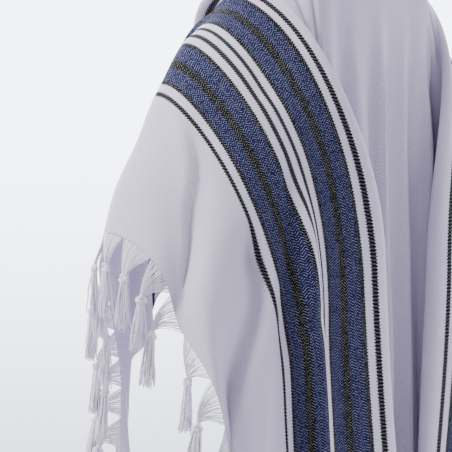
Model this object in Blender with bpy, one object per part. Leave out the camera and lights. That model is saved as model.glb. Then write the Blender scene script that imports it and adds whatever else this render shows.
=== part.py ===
"""Tallit prayer shawl, worn over the head and both shoulders and standing hollow. Metres, +Z up.

The wearer faces -Y and the wearer's left is +X. The origin is the crown of the head, where a head holds it.
The cloth is one rectangle, 1.60 m from fringe to fringe and 1.15 m from its upper edge to its lower edge.
A point on it has two cloth coordinates: across (0 at the left fringe, 1.60 at the right one) and down
(0 at the upper edge, which hangs in front, 1.15 at the lower edge, which hangs behind).
Each line of the cloth at one "across" rises in front, passes over the shoulder or head, and falls behind.
"""

import bmesh
import bpy
import numpy as np

CLOTH_LENGTH = 1.60  # fringe to fringe
CLOTH_WIDTH = 1.15  # upper edge to lower edge
HALF = CLOTH_LENGTH / 2
WALL = 0.002
SEAM_GAP = 0.0003
STRIP_GAP = 0.0013  # from the cloth's end to the fringe's strip, where both twist with the folds
SPLIT = 0.71  # distance from each fringe where the cloth is parted, down the back and over the head
SPLIT_GAP = 0.0009  # along the cloth: 0.3 mm or more across it, where the parting runs slantwise

# One row for each lengthwise line of the left half. side: distance from the fringe.
# x_top, y_top, z_top: where the line passes over the shoulder or head, and down_top: how far down the cloth.
# lean: share of the fall that first goes straight back. late: how far behind the top it starts to swing sideways.
# Then its place behind, at the hem, and in front.
SECTION_NAMES = (
    "side x_top y_top z_top down_top lean late x_back y_back x_hem y_hem x_front y_front".split()
)
SECTIONS = (
    (0.000, 0.278, -0.012, -0.503, 0.360, 1.00, 0.02, 0.226, 0.128, 0.212, 0.138, 0.242, -0.072),
    (0.055, 0.262, -0.014, -0.452, 0.350, 0.97, 0.02, 0.228, 0.132, 0.205, 0.142, 0.218, -0.088),
    (0.110, 0.244, -0.012, -0.402, 0.330, 0.93, 0.02, 0.206, 0.140, 0.185, 0.146, 0.188, -0.098),
    (0.168, 0.226, -0.008, -0.352, 0.305, 0.88, 0.02, 0.171, 0.150, 0.148, 0.152, 0.160, -0.105),
    (0.204, 0.207, -0.006, -0.320, 0.288, 0.88, 0.02, 0.150, 0.156, 0.126, 0.157, 0.148, -0.105),
    (0.229, 0.187, -0.006, -0.297, 0.272, 0.88, 0.02, 0.131, 0.160, 0.108, 0.160, 0.139, -0.104),
    (0.266, 0.158, -0.004, -0.276, 0.250, 0.88, 0.02, 0.108, 0.164, 0.080, 0.163, 0.128, -0.103),
    (0.291, 0.140, 0.000, -0.262, 0.235, 0.90, 0.02, 0.092, 0.165, 0.058, 0.164, 0.121, -0.102),
    (0.316, 0.126, 0.002, -0.245, 0.220, 0.95, 0.02, 0.070, 0.165, 0.034, 0.165, 0.114, -0.101),
    (0.345, 0.121, 0.004, -0.224, 0.205, 0.97, 0.02, 0.042, 0.163, 0.012, 0.164, 0.107, -0.099),
    (0.360, 0.1166, 0.004, -0.210, 0.195, 0.889, 0.03, 0.040, 0.150, 0.012, 0.152, 0.104, -0.098),
    (0.385, 0.107, 0.002, -0.196, 0.180, 0.8724, 0.0761, 0.064, 0.134, 0.038, 0.142, 0.098, -0.096),
    (0.450, 0.1002, 0.000, -0.172, 0.145, 0.7252, 0.1358, 0.108, 0.134, 0.100, 0.139, 0.086, -0.092),
    (0.490, 0.0975, 0.000, -0.158, 0.122, 0.7487, 0.16, 0.132, 0.120, 0.126, 0.132, 0.081, -0.089),
    (0.512, 0.092, 0.000, -0.150, 0.108, 0.9009, 0.18, 0.132, 0.108, 0.127, 0.121, 0.079, -0.088),
    (0.570, 0.0871, 0.000, -0.128, 0.098, 0.90, 0.22, 0.112, 0.104, 0.108, 0.117, 0.078, -0.086),
    (0.640, 0.083, 0.000, -0.086, 0.096, 1.00, 0.25, 0.081, 0.104, 0.084, 0.117, 0.073, -0.087),
    (0.700, 0.074, 0.000, -0.034, 0.104, 1.00, 0.20, 0.060, 0.106, 0.058, 0.117, 0.060, -0.092),
    (0.750, 0.044, 0.000, -0.009, 0.112, 1.00, 0.20, 0.033, 0.107, 0.032, 0.117, 0.038, -0.097),
    (0.800, 0.000, 0.000, 0.000, 0.115, 1.00, 0.20, 0.000, 0.108, 0.000, 0.117, 0.000, -0.100),
)
SWING_RUN = 0.37  # a line moves from its top to its place behind over this length
HEM_START, HEM_RUN = 0.34, 0.50  # where it moves on to its place at the hem
TOP_ROUND = 0.030

# The largest folds, each along a straight run of cloth from (side, down) to (side, down).
# width: half width. height: ridge, or trough below 0, at full growth. grow: share of the run it takes to grow.
FOLD_NAMES = "side_a down_a side_b down_b width height grow".split()
LEFT_FOLDS = (
    (0.150, 0.380, -0.010, 0.510, 0.034, 0.024, 0.90),
    (0.130, 0.450, -0.010, 0.620, 0.030, -0.010, 0.80),
    (0.150, 0.560, 0.085, 0.840, 0.036, -0.010, 0.50),
    (0.085, 0.840, 0.080, 1.150, 0.036, -0.010, 0.10),
    (0.178, 0.560, 0.160, 0.780, 0.022, 0.010, 0.50),
    (0.160, 0.780, 0.158, 1.150, 0.022, 0.010, 0.10),
    (0.250, 0.470, 0.218, 0.620, 0.014, -0.012, 0.60),
    (0.218, 0.620, 0.222, 1.150, 0.014, -0.012, 0.10),
    (0.285, 0.550, 0.272, 1.150, 0.020, 0.007, 0.60),
    (0.060, 0.310, 0.020, 0.000, 0.026, 0.014, 0.60),
    (0.130, 0.270, 0.100, 0.000, 0.028, -0.012, 0.60),
    (0.200, 0.230, 0.175, 0.000, 0.026, 0.014, 0.60),
    (0.270, 0.190, 0.250, 0.000, 0.028, -0.012, 0.60),
    (0.335, 0.150, 0.330, 0.000, 0.024, 0.010, 0.60),
    (0.560, 0.450, 0.565, 1.150, 0.024, -0.006, 0.40),
    (0.620, 0.360, 0.628, 1.150, 0.026, 0.009, 0.50),
    (0.690, 0.340, 0.695, 1.150, 0.026, -0.009, 0.40),
    (0.750, 0.380, 0.748, 1.150, 0.024, 0.009, 0.40),
)
RIGHT_FOLDS = (
    (0.160, 0.390, -0.010, 0.540, 0.036, 0.020, 0.90),
    (0.125, 0.480, -0.010, 0.660, 0.032, -0.011, 0.80),
    (0.140, 0.600, 0.070, 0.880, 0.034, -0.009, 0.50),
    (0.070, 0.880, 0.066, 1.150, 0.034, -0.009, 0.10),
    (0.185, 0.530, 0.150, 0.800, 0.024, 0.011, 0.50),
    (0.150, 0.800, 0.146, 1.150, 0.024, 0.011, 0.10),
    (0.262, 0.490, 0.240, 0.680, 0.016, -0.011, 0.60),
    (0.240, 0.680, 0.236, 1.150, 0.016, -0.011, 0.10),
    (0.300, 0.580, 0.290, 1.150, 0.020, 0.007, 0.60),
    (0.050, 0.300, 0.030, 0.000, 0.028, 0.012, 0.60),
    (0.115, 0.260, 0.105, 0.000, 0.026, -0.013, 0.60),
    (0.190, 0.220, 0.185, 0.000, 0.028, 0.013, 0.60),
    (0.280, 0.180, 0.265, 0.000, 0.026, -0.011, 0.60),
    (0.345, 0.140, 0.340, 0.000, 0.024, 0.009, 0.60),
    (0.550, 0.440, 0.560, 1.150, 0.024, -0.006, 0.40),
    (0.630, 0.330, 0.640, 1.150, 0.024, 0.008, 0.50),
    (0.705, 0.300, 0.702, 1.150, 0.026, -0.010, 0.40),
)

# Fringe: a narrow strip along the cloth's end, with knotted tassels that leave it and turn downwards.
STRIP_WIDTH = 0.008
ROWS_DOWN = 30  # cells of the wall's mesh down the cloth, with a tassel at the middle of each one's end
ROOT_HALF = 0.009
TASSEL_LEAN = 0.12  # how far a hanging tassel leans out, for each unit that it falls
TASSEL_FAN = 0.008  # neighbours stand this far to either side, clear of each other
# distance along the tassel from its root, half width along the edge, half thickness, how far it has turned down
TASSEL_RINGS = (
    (0.010, 0.0060, 0.0016, 0.40),
    (0.020, 0.0030, 0.0028, 0.80),
    (0.024, 0.0052, 0.0050, 0.92),
    (0.031, 0.0052, 0.0050, 1.00),
    (0.035, 0.0034, 0.0034, 1.00),
    (0.086, 0.0066, 0.0040, 1.00),
)

# Corner tzitzit: a flat loop from the eyelet over the edge, a wound stem with knots, and eight strings.
EYELET = 0.040  # from both edges of the cloth
LOOP_HALF, LOOP_THICK, LOOP_LIFT = 0.003, 0.0011, 0.0008
KNOT_OUT = 0.0032  # the loop rises this much more by the hem, so that the stem clears the corner below it
# distance below the hem, half size of the stem there
STEM_RINGS = ((0.012, 0.0012), (0.017, 0.0052), (0.019, 0.0052), (0.024, 0.0034), (0.056, 0.0034),
              (0.060, 0.0050), (0.064, 0.0034), (0.098, 0.0034), (0.103, 0.0054), (0.108, 0.0042))
STRING_LENGTH = 0.190
STRING_HALF = 0.0011
STRING_SPREAD = 2.6


def remove_startup_objects():
    for thing in list(bpy.data.objects):
        bpy.data.objects.remove(thing)


def ease(t):
    """0 to 1 with level ends: 3t^2 - 2t^3."""
    t = np.clip(t, 0.0, 1.0)
    return t * t * (3 - 2 * t)


def through(rows_at, values, at):
    """A cubic through the values at rows_at, its slope at each row the mean of its two neighbours' slopes."""
    gap = np.diff(rows_at)
    rise = np.diff(values) / gap
    slope = np.empty(len(values))
    slope[0], slope[-1] = rise[0], rise[-1]
    slope[1:-1] = (rise[:-1] * gap[1:] + rise[1:] * gap[:-1]) / (gap[1:] + gap[:-1])
    i = np.clip(np.searchsorted(rows_at, at, side="right") - 1, 0, len(gap) - 1)
    g, u = gap[i], (at - rows_at[i]) / gap[i]
    start = (2 * u**3 - 3 * u**2 + 1) * values[i] + (u**3 - 2 * u**2 + u) * g * slope[i]
    end = (3 * u**2 - 2 * u**3) * values[i + 1] + (u**3 - u**2) * g * slope[i + 1]
    return start + end


def smooth_cloth(across, down):
    """Points of the cloth with no folds, for a list of across and a list of down.

    A line keeps its length: x and y follow from the distance along it, and z falls by what is left of each step.
    """
    side = np.where(across > HALF, CLOTH_LENGTH - across, across)
    table = np.array(SECTIONS)
    at = {name: through(table[:, 0], table[:, k], side)[:, None] for k, name in enumerate(SECTION_NAMES)}
    run = np.linspace(-0.5, CLOTH_WIDTH, 1651)[None, :]
    step = run[0, 1] - run[0, 0]
    ahead, length = run < 0, np.abs(run)

    reach = np.hypot(at["x_front"] - at["x_top"], at["y_front"] - at["y_top"])
    forward = np.tanh(length / np.maximum(reach, 0.01))
    deep = at["y_back"] - at["y_top"]
    first = at["lean"] * length + (1 - at["lean"]) * TOP_ROUND * np.tanh(length / TOP_ROUND)
    swing = ease((length - at["late"]) / SWING_RUN)
    on = ease((length - HEM_START) / HEM_RUN)
    x = at["x_top"] + np.where(
        ahead,
        (at["x_front"] - at["x_top"]) * forward,
        (at["x_back"] - at["x_top"]) * swing + (at["x_hem"] - at["x_back"]) * on,
    )
    y = at["y_top"] + np.where(
        ahead,
        (at["y_front"] - at["y_top"]) * forward,
        deep * np.tanh(first / deep) + (at["y_hem"] - at["y_back"]) * on,
    )
    x_step, y_step = np.gradient(x, step, axis=1), np.gradient(y, step, axis=1)
    fall = np.sqrt(np.clip(1 - x_step**2 - y_step**2, 0, 1))
    fallen = np.cumsum(fall, axis=1) * step
    top = np.argmin(np.abs(run[0]))
    z = at["z_top"] - np.abs(fallen - fallen[:, top : top + 1])

    k = (down[None, :] - at["down_top"] - run[0, 0]) / step
    i = np.clip(k.astype(int), 0, run.shape[1] - 2)
    part, row = k - i, np.arange(len(side))[:, None]
    line = [q[row, i] * (1 - part) + q[row, i + 1] * part for q in (x, y, z)]
    line[0] = line[0] * np.where(across > HALF, -1, 1)[:, None]
    return np.stack(line, axis=-1)


def unit(vectors):
    return vectors / np.maximum(np.linalg.norm(vectors, axis=-1, keepdims=True), 1e-9)


def outward(across, down, nudge=0.004):
    """The direction out of the cloth, away from the wearer."""
    ends = np.clip(across + nudge, 0, CLOTH_LENGTH), np.clip(across - nudge, 0, CLOTH_LENGTH)
    sideways = smooth_cloth(ends[0], down) - smooth_cloth(ends[1], down)
    along = smooth_cloth(across, down + nudge) - smooth_cloth(across, down - nudge)
    return unit(np.cross(sideways, along))


def fold_height(across, down):
    """Sum of the folds: each a soft bell across its run, which grows along it."""
    total = np.zeros((len(across), len(down)))
    mirrored = CLOTH_LENGTH - across
    for side, folds in ((across, LEFT_FOLDS), (mirrored, RIGHT_FOLDS)):
        near = 1 - ease((side - HALF + 0.06) / 0.06)
        for row in folds:
            fold = dict(zip(FOLD_NAMES, row))
            start = np.array([fold["side_a"], fold["down_a"]])
            way = np.array([fold["side_b"], fold["down_b"]]) - start
            offset = np.stack(np.meshgrid(side, down, indexing="ij"), -1) - start
            along = offset @ way / (way @ way)
            beside = offset - np.clip(along, 0, 1)[..., None] * way
            bell = np.exp(-(beside**2).sum(-1) / fold["width"] ** 2)
            growth = ease(np.clip(along, 0, 1) / fold["grow"])
            total += fold["height"] * bell * growth * near[:, None]
    return total


def cloth(across, down):
    """The folded cloth's middle surface."""
    return smooth_cloth(across, down) + fold_height(across, down)[..., None] * outward(across, down)


def grid_normals(points, across, down):
    sideways = np.gradient(points, across, axis=0)
    along = np.gradient(points, down, axis=1)
    return unit(np.cross(sideways, along))


def stations(first, last, longest=0.034):
    """Distances from the fringe for a mesh: each gap between sections is cut into equal steps."""
    sides = [row[0] for row in SECTIONS]
    marks = sorted({first, last, *(s for s in sides if first < s < last)})
    out = [marks[0]]
    for a, b in zip(marks, marks[1:]):
        steps = max(1, int(np.ceil((b - a) / longest)))
        out += [a + (b - a) * (k + 1) / steps for k in range(steps)]
    return np.array(out)


def down_stations():
    """Rows down the cloth, closer together over the shoulder and head."""
    even = np.linspace(0, 1, ROWS_DOWN + 1)
    return CLOTH_WIDTH * (even - 0.05 * np.sin(2 * np.pi * even) * np.sin(np.pi * even) ** 2)


def material(name, colour, roughness):
    made = bpy.data.materials.new(name)
    made.use_nodes = True
    shader = made.node_tree.nodes["Principled BSDF"]
    shader.inputs["Base Color"].default_value = (*colour, 1)
    shader.inputs["Roughness"].default_value = roughness
    shader.inputs["Metallic"].default_value = 0
    made.diffuse_color = (*colour, 1)
    return made


def add_node(name, points, faces, finish):
    mesh = bpy.data.meshes.new(name)
    mesh.from_pydata(points, [], faces)
    work = bmesh.new()
    work.from_mesh(mesh)
    bmesh.ops.recalc_face_normals(work, faces=work.faces)
    work.to_mesh(mesh)
    work.free()
    mesh.materials.append(finish)
    thing = bpy.data.objects.new(name, mesh)
    bpy.context.scene.collection.objects.link(thing)
    return thing


def patch(across, down):
    """A patch of the cloth for a mesh: where its rows and columns lie, its points, and the way out at each."""
    middle = cloth(across, down)
    return across, down, middle, grid_normals(middle, across, down)


def wall(name, sheet, finish):
    """A wall WALL thick on a patch of the cloth: outer and inner grids joined round the edge, lowest faces first."""
    middle, out = sheet[2:]
    rows, columns = middle.shape[:2]
    points = np.concatenate([(middle + out * WALL / 2).reshape(-1, 3), (middle - out * WALL / 2).reshape(-1, 3)])
    inner = rows * columns

    def corner(i, j, layer=0):
        return layer * inner + i * columns + j

    faces = []
    for layer in (0, 1):
        for i in range(rows - 1):
            for j in range(columns - 1):
                quad = [corner(*p, layer) for p in ((i, j), (i + 1, j), (i + 1, j + 1), (i, j + 1))]
                faces.append(quad[::-1] if layer else quad)
    rim = [(i, 0) for i in range(rows)] + [(rows - 1, j) for j in range(1, columns)]
    rim += [(i, columns - 1) for i in range(rows - 2, -1, -1)] + [(0, j) for j in range(columns - 2, 0, -1)]
    for a, b in zip(rim, rim[1:] + rim[:1]):
        faces.append([corner(*b), corner(*a), corner(*a, 1), corner(*b, 1)])
    faces.sort(key=lambda face: points[face, 2].mean())
    return add_node(name, points, faces, finish)


def on_sheet(sheet, across, down):
    """A point of a patch's mesh and the way out there, between its rows and columns."""
    found = []
    for marks, at in ((sheet[0], across), (sheet[1], down)):
        i = int(np.clip(np.searchsorted(marks, at, side="right") - 1, 0, len(marks) - 2))
        found += [i, (at - marks[i]) / (marks[i + 1] - marks[i])]
    i, u, j, v = found
    both = [q[i, j] * (1 - u) * (1 - v) + q[i + 1, j] * u * (1 - v) + q[i, j + 1] * (1 - u) * v
            + q[i + 1, j + 1] * u * v for q in sheet[2:]]
    return both[0], unit(both[1])


def edge_frames(sheet, right, down):
    """Along a fringed end: its points, the way out of the cloth's end, and the way out of its face."""
    end, inside = (CLOTH_LENGTH, CLOTH_LENGTH - 0.01) if right else (0.0, 0.01)
    edge, face = (np.array(q) for q in zip(*(on_sheet(sheet, end, d) for d in down)))
    within = np.array([on_sheet(sheet, inside, d)[0] for d in down])
    along = unit(np.gradient(edge, down, axis=0))
    beyond = edge - within
    return edge, unit(beyond - (beyond * along).sum(-1, keepdims=True) * along), face


def fringe(name, sheet, right, finish):
    """The strip is a bar with a station at each side of each root; a tassel goes on from the bar's outer face."""
    centres = (sheet[1][1:] + sheet[1][:-1]) / 2
    down = np.sort(np.concatenate([sheet[1], centres - ROOT_HALF, centres + ROOT_HALF]))
    edge, beyond, face = edge_frames(sheet, right, down)
    near, far = edge + beyond * STRIP_GAP, edge + beyond * (STRIP_GAP + STRIP_WIDTH)
    thick = face * WALL / 2
    points = list(np.stack([near + thick, near - thick, far - thick, far + thick], axis=1).reshape(-1, 3))
    faces = [[0, 1, 2, 3], [4 * (len(down) - 1) + k for k in (3, 2, 1, 0)]]
    for i in range(len(down) - 1):
        a, b = 4 * i, 4 * (i + 1)
        for k in range(4):
            n = (k + 1) % 4
            if k == 2 and i % 3 == 1:
                continue
            faces.append([a + k, a + n, b + n, b + k])
    for t in range(ROWS_DOWN):
        i = 3 * t + 1
        ring = [4 * i + 2, 4 * i + 3, 4 * (i + 1) + 3, 4 * (i + 1) + 2]
        way_out = unit(beyond[i] + beyond[i + 1])
        flat = unit(face[i] + face[i + 1])
        drop = unit(np.array([TASSEL_LEAN * way_out[0], TASSEL_LEAN * way_out[1], -1.0]))
        place = (far[i] + far[i + 1]) / 2
        fan = TASSEL_FAN * (1 if t % 2 else -1) * abs(way_out @ unit(np.array([way_out[0], way_out[1], 0])))
        gone = 0.0
        for distance, half_width, half_thick, turned in TASSEL_RINGS:
            way = unit(way_out * (1 - turned) + drop * turned)
            place = place + way * (distance - gone)
            gone = distance
            flat_here = unit(flat - (flat @ way) * way)
            wide = np.cross(way, flat_here)
            if wide @ (points[ring[2]] + points[ring[3]] - points[ring[0]] - points[ring[1]]) < 0:
                wide = -wide
            centre = place + flat * fan * ease(distance / 0.03)
            first = len(points)
            points += [centre - wide * half_width - flat_here * half_thick,
                       centre - wide * half_width + flat_here * half_thick,
                       centre + wide * half_width + flat_here * half_thick,
                       centre + wide * half_width - flat_here * half_thick]
            new = [first, first + 1, first + 2, first + 3]
            for k in range(4):
                n = (k + 1) % 4
                faces.append([ring[k], ring[n], new[n], new[k]])
            ring = new
        faces.append(ring)
    return add_node(name, points, faces, finish)


def tzitzit(name, sheet, right, behind, finish):
    """Rings of twelve points, four by two cells inside, so that the last one's cells go on as eight strings."""
    across = CLOTH_LENGTH - EYELET if right else EYELET
    downs = np.linspace(CLOTH_WIDTH - EYELET, CLOTH_WIDTH, 4) if behind else np.linspace(EYELET, 0, 4)
    places, out = (np.array(q) for q in zip(*(on_sheet(sheet, across, d) for d in downs)))
    beside = on_sheet(sheet, across + 0.01, downs[-1])[0]
    wide = unit(beside - places[-1])
    lift = WALL / 2 + LOOP_LIFT + LOOP_THICK
    rises = lift + KNOT_OUT * np.linspace(0, 1, len(places))
    rings = [(p + w * rise, wide * LOOP_HALF, w * LOOP_THICK) for p, w, rise in zip(places, out, rises)]
    foot = places[-1] + out[-1] * rises[-1]
    level = unit(np.array([out[-1][0], out[-1][1], 0]))
    sideways = np.cross(level, [0, 0, 1.0])
    if sideways @ wide < 0:
        sideways = -sideways
    for below, half in STEM_RINGS:
        rings.append((foot + np.array([0, 0, -below]), sideways * half, level * half))
    outline = [(-1, -1), (-0.5, -1), (0, -1), (0.5, -1), (1, -1), (1, 0),
               (1, 1), (0.5, 1), (0, 1), (-0.5, 1), (-1, 1), (-1, 0)]
    points, faces = [], [list(range(11, -1, -1))]
    for centre, u, w in rings:
        points += [centre + u * a + w * b * (0.8 if abs(a) == 1 else 1) for a, b in outline]
    for r in range(len(rings) - 1):
        for k in range(12):
            n = (k + 1) % 12
            faces.append([12 * r + k, 12 * r + n, 12 * (r + 1) + n, 12 * (r + 1) + k])
    last = 12 * (len(rings) - 1)
    centre, u, w = rings[-1]
    inner = len(points)
    points += [centre + u * a for a in (-0.5, 0, 0.5)]
    rows = [[last + k for k in range(5)], [last + 11, inner, inner + 1, inner + 2, last + 5],
            [last + 10, last + 9, last + 8, last + 7, last + 6]]
    for r in range(2):
        for c in range(4):
            root = [rows[r][c], rows[r][c + 1], rows[r + 1][c + 1], rows[r + 1][c]]
            a, b = (c - 1.5) / 2, (r - 0.5)
            drift = (u * a + w * b) * STRING_SPREAD
            length = STRING_LENGTH * (1 - 0.05 * ((3 * c + 5 * r) % 4))
            ring = root
            for share, size in ((0.10, 1.0), (1.0, 0.9)):
                middle = centre + u * a + w * b + drift * (0.35 + share) + np.array([0, 0, -length * share])
                first = len(points)
                p, q = unit(u) * STRING_HALF * size, unit(w) * STRING_HALF * size
                points += [middle - p - q, middle + p - q, middle + p + q, middle - p + q]
                new = list(range(first, first + 4))
                faces += [[ring[k], ring[(k + 1) % 4], new[(k + 1) % 4], new[k]] for k in range(4)]
                ring = new
            faces.append(ring)
    return add_node(name, points, faces, finish)


def main():
    remove_startup_objects()
    white_cloth = material("white_cloth", (0.86, 0.86, 0.90), 0.9)
    white_fringe = material("white_fringe", (0.90, 0.90, 0.91), 0.95)
    white_strings = material("white_strings", (0.92, 0.91, 0.88), 0.9)
    down = down_stations()
    to_split = stations(0.0, SPLIT - SPLIT_GAP / 2)
    past_split = stations(SPLIT + SPLIT_GAP / 2, HALF)
    left = patch(to_split, down)
    middle = patch(np.concatenate([past_split, CLOTH_LENGTH - past_split[-2::-1]]), down)
    right = patch(CLOTH_LENGTH - to_split[::-1], down)
    wall("shawl_left", left, white_cloth)
    wall("shawl_middle", middle, white_cloth)
    wall("shawl_right", right, white_cloth)
    for side, sheet in (("left", left), ("right", right)):
        fringe("fringe_" + side, sheet, side == "right", white_fringe)
        for place in ("front", "back"):
            tzitzit("tzitzit_" + place + "_" + side, sheet, side == "right", place == "back", white_strings)


main()
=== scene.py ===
# %% [markdown]
# # A tallit prayer shawl, worn over the head
# The real thing is one woven wool cloth with a fringe left at each end and a knotted string tied
# through an eyelet at each corner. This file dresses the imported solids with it. The cloth is a
# surface of two numbers, how far along the cloth and how far down it, so that one function gives
# every point and the woven stripes can follow the same two numbers.

import bpy
import numpy as np
from mathutils import Matrix


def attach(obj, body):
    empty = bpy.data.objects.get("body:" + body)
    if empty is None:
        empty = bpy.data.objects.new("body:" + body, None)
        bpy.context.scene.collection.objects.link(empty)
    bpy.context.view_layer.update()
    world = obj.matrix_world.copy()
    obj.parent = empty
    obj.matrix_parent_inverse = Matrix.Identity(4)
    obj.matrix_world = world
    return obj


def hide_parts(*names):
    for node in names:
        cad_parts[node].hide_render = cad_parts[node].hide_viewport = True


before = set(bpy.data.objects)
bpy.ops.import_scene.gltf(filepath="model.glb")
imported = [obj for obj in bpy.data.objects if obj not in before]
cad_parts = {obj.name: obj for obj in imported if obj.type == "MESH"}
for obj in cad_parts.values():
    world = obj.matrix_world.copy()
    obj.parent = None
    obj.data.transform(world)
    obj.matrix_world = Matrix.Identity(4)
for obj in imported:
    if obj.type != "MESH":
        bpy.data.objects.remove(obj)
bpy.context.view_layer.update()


def new_object(name, data):
    """An object of this mesh, light or camera, linked into the scene."""
    made = bpy.data.objects.new(name, data)
    bpy.context.scene.collection.objects.link(made)
    return made


# %% [markdown]
# ## The cloth's sizes
# `side` is the distance from the nearer fringed end and `down` the distance from the front edge to
# the back hem, both measured on the cloth laid flat. Sizes are in metres, and the long tables of
# lines, folds and creases are in thousandths of a metre and of a share.

# %% Sizes of the cloth
CLOTH_LENGTH = 1.60
CLOTH_WIDTH = 1.15
HALF = CLOTH_LENGTH / 2
THICK = 0.0010
EDGE_GAP = 0.0013  # from the cloth's end to where the fringe's own solid starts
STRIP = 0.008  # the first part of the fringe, which the solid has as a strip


def ease(t):
    """0 to 1 with level ends: 3t^2 - 2t^3."""
    t = np.clip(t, 0.0, 1.0)
    return t * t * (3 - 2 * t)


def unit(vectors):
    """Each vector divided by its own length."""
    return vectors / np.maximum(np.linalg.norm(vectors, axis=-1, keepdims=True), 1e-9)


# %% [markdown]
# ## How the cloth hangs
# A worn cloth is held where it passes over the head and shoulders, and falls in front and behind.
# Each row of the table is one line down the cloth: where it passes over the top, how far down the
# cloth that is, and where it hangs behind, at the hem and in front. `lean` is the share of the fall
# that first goes straight back, and `late` how far past the top it starts to swing sideways.

# %% The lines down the cloth
LINE_NAMES = "side x_top y_top z_top down_top lean late x_back y_back x_hem y_hem x_front y_front".split()
LINES = np.array([
    (0, 278, -12, -503, 360, 1000, 20, 226, 128, 212, 138, 242, -72),
    (55, 262, -14, -452, 350, 970, 20, 228, 132, 205, 142, 218, -88),
    (110, 244, -12, -402, 330, 930, 20, 206, 140, 185, 146, 188, -98),
    (168, 226, -8, -352, 305, 880, 20, 171, 150, 148, 152, 160, -105),
    (204, 207, -6, -320, 288, 880, 20, 150, 156, 126, 157, 148, -105),
    (229, 187, -6, -297, 272, 880, 20, 131, 160, 108, 160, 139, -104),
    (266, 158, -4, -276, 250, 880, 20, 108, 164, 80, 163, 128, -103),
    (291, 140, 0, -262, 235, 900, 20, 92, 165, 58, 164, 121, -102),
    (316, 126, 2, -245, 220, 950, 20, 70, 165, 34, 165, 114, -101),
    (345, 121, 4, -224, 205, 970, 20, 42, 163, 12, 164, 107, -99),
    (360, 116.6, 4, -210, 195, 889, 30, 40, 150, 12, 152, 104, -98),
    (385, 107, 2, -196, 180, 872.4, 76.1, 64, 134, 38, 142, 98, -96),
    (450, 100.2, 0, -172, 145, 725.2, 135.8, 108, 134, 100, 139, 86, -92),
    (490, 97.5, 0, -158, 122, 748.7, 160, 132, 120, 126, 132, 81, -89),
    (512, 92, 0, -150, 108, 900.9, 180, 132, 108, 127, 121, 79, -88),
    (570, 87.1, 0, -128, 98, 900, 220, 112, 104, 108, 117, 78, -86),
    (640, 83, 0, -86, 96, 1000, 250, 81, 104, 84, 117, 73, -87),
    (700, 74, 0, -34, 104, 1000, 200, 60, 106, 58, 117, 60, -92),
    (750, 44, 0, -9, 112, 1000, 200, 33, 107, 32, 117, 38, -97),
    (800, 0, 0, 0, 115, 1000, 200, 0, 108, 0, 117, 0, -100),
]) / 1000
SWING_RUN = 0.37  # the length of cloth over which a line swings from its top to where it hangs behind
HEM_START, HEM_RUN = 0.34, 0.50  # where it starts to move to its place at the hem, and over what length
TOP_ROUND = 0.030  # how round the cloth lies over the top
LONGEST_FRONT, RUN_STEPS = 0.5, 1651  # a line is worked out from this far in front of the top, each millimetre
print("lines down each half of the cloth:", len(LINES))


def through(rows_at, values, at):
    """A cubic through the values, its slope at each row the mean of its neighbours' slopes."""
    gap = np.diff(rows_at)
    rise = np.diff(values) / gap
    slope = np.empty(len(values))
    slope[0], slope[-1] = rise[0], rise[-1]
    slope[1:-1] = (rise[:-1] * gap[1:] + rise[1:] * gap[:-1]) / (gap[1:] + gap[:-1])
    i = np.clip(np.searchsorted(rows_at, at, side="right") - 1, 0, len(gap) - 1)
    g, u = gap[i], (at - rows_at[i]) / gap[i]
    start = (2 * u**3 - 3 * u**2 + 1) * values[i] + (u**3 - 2 * u**2 + u) * g * slope[i]
    end = (3 * u**2 - 2 * u**3) * values[i + 1] + (u**3 - u**2) * g * slope[i + 1]
    return start + end


def hanging_cloth(across, down):
    """Points of the cloth without folds, for a list of distances across and a list of distances down.

    Each line keeps its length: x and y are eased curves of the distance along it, and z falls by
    the square root of what each step has left, 1 - dx^2 - dy^2.
    """
    side = np.where(across > HALF, CLOTH_LENGTH - across, across)
    at = {name: through(LINES[:, 0], LINES[:, k], side)[:, None] for k, name in enumerate(LINE_NAMES)}
    run = np.linspace(-LONGEST_FRONT, CLOTH_WIDTH, RUN_STEPS)[None, :]
    step = run[0, 1] - run[0, 0]
    ahead, length = run < 0, np.abs(run)
    reach = np.hypot(at["x_front"] - at["x_top"], at["y_front"] - at["y_top"])
    forward = np.tanh(length / np.maximum(reach, 0.01))
    deep = at["y_back"] - at["y_top"]
    first = at["lean"] * length + (1 - at["lean"]) * TOP_ROUND * np.tanh(length / TOP_ROUND)
    swing = ease((length - at["late"]) / SWING_RUN)
    on = ease((length - HEM_START) / HEM_RUN)
    back_x = (at["x_back"] - at["x_top"]) * swing + (at["x_hem"] - at["x_back"]) * on
    back_y = deep * np.tanh(first / deep) + (at["y_hem"] - at["y_back"]) * on
    x = at["x_top"] + np.where(ahead, (at["x_front"] - at["x_top"]) * forward, back_x)
    y = at["y_top"] + np.where(ahead, (at["y_front"] - at["y_top"]) * forward, back_y)
    x_step, y_step = np.gradient(x, step, axis=1), np.gradient(y, step, axis=1)
    fallen = np.cumsum(np.sqrt(np.clip(1 - x_step**2 - y_step**2, 0, 1)), axis=1) * step
    top = np.argmin(np.abs(run[0]))
    z = at["z_top"] - np.abs(fallen - fallen[:, top : top + 1])
    k = (down[None, :] - at["down_top"] - run[0, 0]) / step
    i = np.clip(k.astype(int), 0, run.shape[1] - 2)
    part, row = k - i, np.arange(len(side))[:, None]
    line = [q[row, i] * (1 - part) + q[row, i + 1] * part for q in (x, y, z)]
    line[0] = line[0] * np.where(across > HALF, -1, 1)[:, None]
    return np.stack(line, axis=-1)


# %% [markdown]
# ## The folds
# Folds start where the cloth is pulled, at the shoulder, the neck and the crown, and open out as
# they fall. The large ones are straight runs, each a soft bell across. A worn shawl's folds are set
# by the wearer's hands, so they are placed one by one and not simulated.
# In every table of folds a height above 0 goes in, towards the wearer, and one below 0 stands out.

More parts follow.
